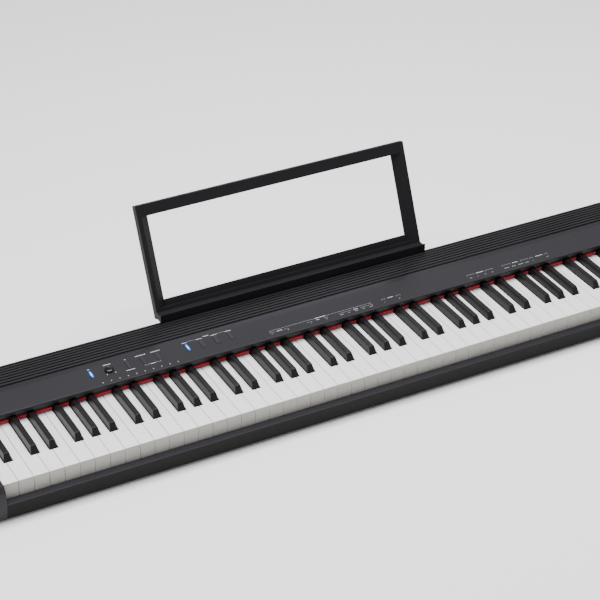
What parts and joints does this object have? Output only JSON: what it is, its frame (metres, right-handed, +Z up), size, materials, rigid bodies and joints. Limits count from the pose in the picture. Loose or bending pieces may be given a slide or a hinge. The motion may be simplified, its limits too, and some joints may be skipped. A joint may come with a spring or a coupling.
{
  "type": "digital piano",
  "caption": "Portable digital piano with full-length keyboard, sloping control panel, louvred speaker grille and a lift-off open-frame music rest.",
  "frame": {"origin": "on the table under the middle of the piano's overall bounding box, music rest included", "axes": "+X to the player's right, +Y from the player to the rear, +Z up"},
  "size_m": [1.283, 0.354, 0.2545],
  "materials": {
    "case_plastic": "fine satin texture",
    "grille_plastic": "matt",
    "rest_plastic": "satin",
    "white_key_plastic": "fine matt grain",
    "black_key_plastic": "satin",
    "steel": "plated",
    "chassis_plastic": "matt",
    "red_felt": "felt",
    "grey_felt": "felt",
    "contact_rubber": "matt",
    "foot_rubber": "matt",
    "circuit_board": "lacquered",
    "speaker_steel": "matt",
    "speaker_cone": "matt",
    "magnet": "matt",
    "inner_plastic": "matt",
    "cell_jacket": "gloss",
    "knob_plastic": "gloss",
    "button_plastic": "satin"
  },
  "bodies": {
    "case": {"bottom_case": "case_plastic", "rear_wall": "case_plastic", "felt_rail": "inner_plastic", "front_rail": "case_plastic", "left_end_block": "case_plastic", "right_end_block": "case_plastic", "top_panel": "case_plastic", "louvre_grille": "grille_plastic", "key_chassis": "chassis_plastic", "key_pivot_rod": "steel", "red_felt_strip": "red_felt", "key_stop_felts": "grey_felt", "rubber_contact_strips": "contact_rubber", "contact_board": "circuit_board", "speaker_frames": "speaker_steel", "speaker_cones": "speaker_cone", "speaker_magnets": "magnet", "main_board": "circuit_board", "panel_board": "circuit_board", "jack_panel": "inner_plastic", "jack_board": "circuit_board", "pedal_jack": "inner_plastic", "phones_jack": "inner_plastic", "usb_port": "steel", "dc_inlet": "steel", "battery_tray": "inner_plastic", "batteries": "cell_jacket", "battery_contacts": "steel", "rubber_feet": "foot_rubber", "case_screws": "steel", "volume_pot": "inner_plastic", "rest_sockets": "rest_plastic"},
    "key_c4_body": {"key_c4": "white_key_plastic"},
    "key_c_sharp_4_body": {"key_c_sharp_4": "black_key_plastic"},
    "key_d4_body": {"key_d4": "white_key_plastic"},
    "key_d_sharp_4_body": {"key_d_sharp_4": "black_key_plastic"},
    "key_e4_body": {"key_e4": "white_key_plastic"},
    "key_f4_body": {"key_f4": "white_key_plastic"},
    "key_f_sharp_4_body": {"key_f_sharp_4": "black_key_plastic"},
    "key_g4_body": {"key_g4": "white_key_plastic"},
    "key_g_sharp_4_body": {"key_g_sharp_4": "black_key_plastic"},
    "key_a4_body": {"key_a4": "white_key_plastic"},
    "key_a_sharp_4_body": {"key_a_sharp_4": "black_key_plastic"},
    "key_b4_body": {"key_b4": "white_key_plastic"},
    "low_white_keys_body": {"low_white_keys": "white_key_plastic"},
    "low_black_keys_body": {"low_black_keys": "black_key_plastic"},
    "high_white_keys_body": {"high_white_keys": "white_key_plastic"},
    "high_black_keys_body": {"high_black_keys": "black_key_plastic"},
    "power_button_body": {"power_button": "button_plastic"},
    "function_button_1_body": {"function_button_1": "button_plastic"},
    "function_button_2_body": {"function_button_2": "button_plastic"},
    "function_button_3_body": {"function_button_3": "button_plastic"},
    "tone_button_1_body": {"tone_button_1": "button_plastic"},
    "tone_button_2_body": {"tone_button_2": "button_plastic"},
    "tone_button_3_body": {"tone_button_3": "button_plastic"},
    "tone_button_4_body": {"tone_button_4": "button_plastic"},
    "volume_knob_body": {"volume_knob": "knob_plastic"},
    "battery_cover_body": {"battery_cover": "case_plastic"},
    "music_rest_body": {"music_rest": "rest_plastic"}
  },
  "joints": [
    {"name": "key_c4_press", "type": "hinge", "parent": "case", "child": "key_c4_body", "pos_m": [0, 0.02798, 0.049], "axis": [1, 0, 0], "range_deg": [0, 3], "stiffness_Nm_per_rad": 0.3, "springref_deg": -17.19},
    {"name": "key_c_sharp_4_press", "type": "hinge", "parent": "case", "child": "key_c_sharp_4_body", "pos_m": [0, 0.02798, 0.049], "axis": [1, 0, 0], "range_deg": [0, 3], "stiffness_Nm_per_rad": 0.3, "springref_deg": -17.19},
    {"name": "key_d4_press", "type": "hinge", "parent": "case", "child": "key_d4_body", "pos_m": [0, 0.02798, 0.049], "axis": [1, 0, 0], "range_deg": [0, 3], "stiffness_Nm_per_rad": 0.3, "springref_deg": -17.19},
    {"name": "key_d_sharp_4_press", "type": "hinge", "parent": "case", "child": "key_d_sharp_4_body", "pos_m": [0, 0.02798, 0.049], "axis": [1, 0, 0], "range_deg": [0, 3], "stiffness_Nm_per_rad": 0.3, "springref_deg": -17.19},
    {"name": "key_e4_press", "type": "hinge", "parent": "case", "child": "key_e4_body", "pos_m": [0, 0.02798, 0.049], "axis": [1, 0, 0], "range_deg": [0, 3], "stiffness_Nm_per_rad": 0.3, "springref_deg": -17.19},
    {"name": "key_f4_press", "type": "hinge", "parent": "case", "child": "key_f4_body", "pos_m": [0, 0.02798, 0.049], "axis": [1, 0, 0], "range_deg": [0, 3], "stiffness_Nm_per_rad": 0.3, "springref_deg": -17.19},
    {"name": "key_f_sharp_4_press", "type": "hinge", "parent": "case", "child": "key_f_sharp_4_body", "pos_m": [0, 0.02798, 0.049], "axis": [1, 0, 0], "range_deg": [0, 3], "stiffness_Nm_per_rad": 0.3, "springref_deg": -17.19},
    {"name": "key_g4_press", "type": "hinge", "parent": "case", "child": "key_g4_body", "pos_m": [0, 0.02798, 0.049], "axis": [1, 0, 0], "range_deg": [0, 3], "stiffness_Nm_per_rad": 0.3, "springref_deg": -17.19},
    {"name": "key_g_sharp_4_press", "type": "hinge", "parent": "case", "child": "key_g_sharp_4_body", "pos_m": [0, 0.02798, 0.049], "axis": [1, 0, 0], "range_deg": [0, 3], "stiffness_Nm_per_rad": 0.3, "springref_deg": -17.19},
    {"name": "key_a4_press", "type": "hinge", "parent": "case", "child": "key_a4_body", "pos_m": [0, 0.02798, 0.049], "axis": [1, 0, 0], "range_deg": [0, 3], "stiffness_Nm_per_rad": 0.3, "springref_deg": -17.19},
    {"name": "key_a_sharp_4_press", "type": "hinge", "parent": "case", "child": "key_a_sharp_4_body", "pos_m": [0, 0.02798, 0.049], "axis": [1, 0, 0], "range_deg": [0, 3], "stiffness_Nm_per_rad": 0.3, "springref_deg": -17.19},
    {"name": "key_b4_press", "type": "hinge", "parent": "case", "child": "key_b4_body", "pos_m": [0, 0.02798, 0.049], "axis": [1, 0, 0], "range_deg": [0, 3], "stiffness_Nm_per_rad": 0.3, "springref_deg": -17.19},
    {"name": "low_white_keys_press", "type": "hinge", "parent": "case", "child": "low_white_keys_body", "pos_m": [0, 0.02798, 0.049], "axis": [1, 0, 0], "range_deg": [0, 3], "stiffness_Nm_per_rad": 6.9, "springref_deg": -17.19},
    {"name": "low_black_keys_press", "type": "hinge", "parent": "case", "child": "low_black_keys_body", "pos_m": [0, 0.02798, 0.049], "axis": [1, 0, 0], "range_deg": [0, 3], "stiffness_Nm_per_rad": 4.8, "springref_deg": -17.19},
    {"name": "high_white_keys_press", "type": "hinge", "parent": "case", "child": "high_white_keys_body", "pos_m": [0, 0.02798, 0.049], "axis": [1, 0, 0], "range_deg": [0, 3], "stiffness_Nm_per_rad": 6.6, "springref_deg": -17.19},
    {"name": "high_black_keys_press", "type": "hinge", "parent": "case", "child": "high_black_keys_body", "pos_m": [0, 0.02798, 0.049], "axis": [1, 0, 0], "range_deg": [0, 3], "stiffness_Nm_per_rad": 4.5, "springref_deg": -17.19},
    {"name": "power_button_press", "type": "slide", "parent": "case", "child": "power_button_body", "axis": [0, 0.0883, -0.9961], "range_m": [0, 0.0005], "stiffness_N_per_m": 200, "springref_m": -0.003},
    {"name": "function_button_1_press", "type": "slide", "parent": "case", "child": "function_button_1_body", "axis": [0, 0.0883, -0.9961], "range_m": [0, 0.0005], "stiffness_N_per_m": 200, "springref_m": -0.003},
    {"name": "function_button_2_press", "type": "slide", "parent": "case", "child": "function_button_2_body", "axis": [0, 0.0883, -0.9961], "range_m": [0, 0.0005], "stiffness_N_per_m": 200, "springref_m": -0.003},
    {"name": "function_button_3_press", "type": "slide", "parent": "case", "child": "function_button_3_body", "axis": [0, 0.0883, -0.9961], "range_m": [0, 0.0005], "stiffness_N_per_m": 200, "springref_m": -0.003},
    {"name": "tone_button_1_press", "type": "slide", "parent": "case", "child": "tone_button_1_body", "axis": [0, 0.0883, -0.9961], "range_m": [0, 0.0005], "stiffness_N_per_m": 200, "springref_m": -0.003},
    {"name": "tone_button_2_press", "type": "slide", "parent": "case", "child": "tone_button_2_body", "axis": [0, 0.0883, -0.9961], "range_m": [0, 0.0005], "stiffness_N_per_m": 200, "springref_m": -0.003},
    {"name": "tone_button_3_press", "type": "slide", "parent": "case", "child": "tone_button_3_body", "axis": [0, 0.0883, -0.9961], "range_m": [0, 0.0005], "stiffness_N_per_m": 200, "springref_m": -0.003},
    {"name": "tone_button_4_press", "type": "slide", "parent": "case", "child": "tone_button_4_body", "axis": [0, 0.0883, -0.9961], "range_m": [0, 0.0005], "stiffness_N_per_m": 200, "springref_m": -0.003},
    {"name": "volume_turn", "type": "hinge", "parent": "case", "child": "volume_knob_body", "pos_m": [-0.377, 0.00205, 0.08302], "axis": [0, -0.0883, 0.9961], "range_deg": [-150, 150]},
    {"name": "battery_cover_slide", "type": "slide", "parent": "case", "child": "battery_cover_body", "axis": [0, 1, 0], "range_m": [0, 0.03]},
    {"name": "music_rest_lift", "type": "slide", "parent": "case", "child": "music_rest_body", "axis": [0, 0, 1], "range_m": [0, 0.06]}
  ]
}
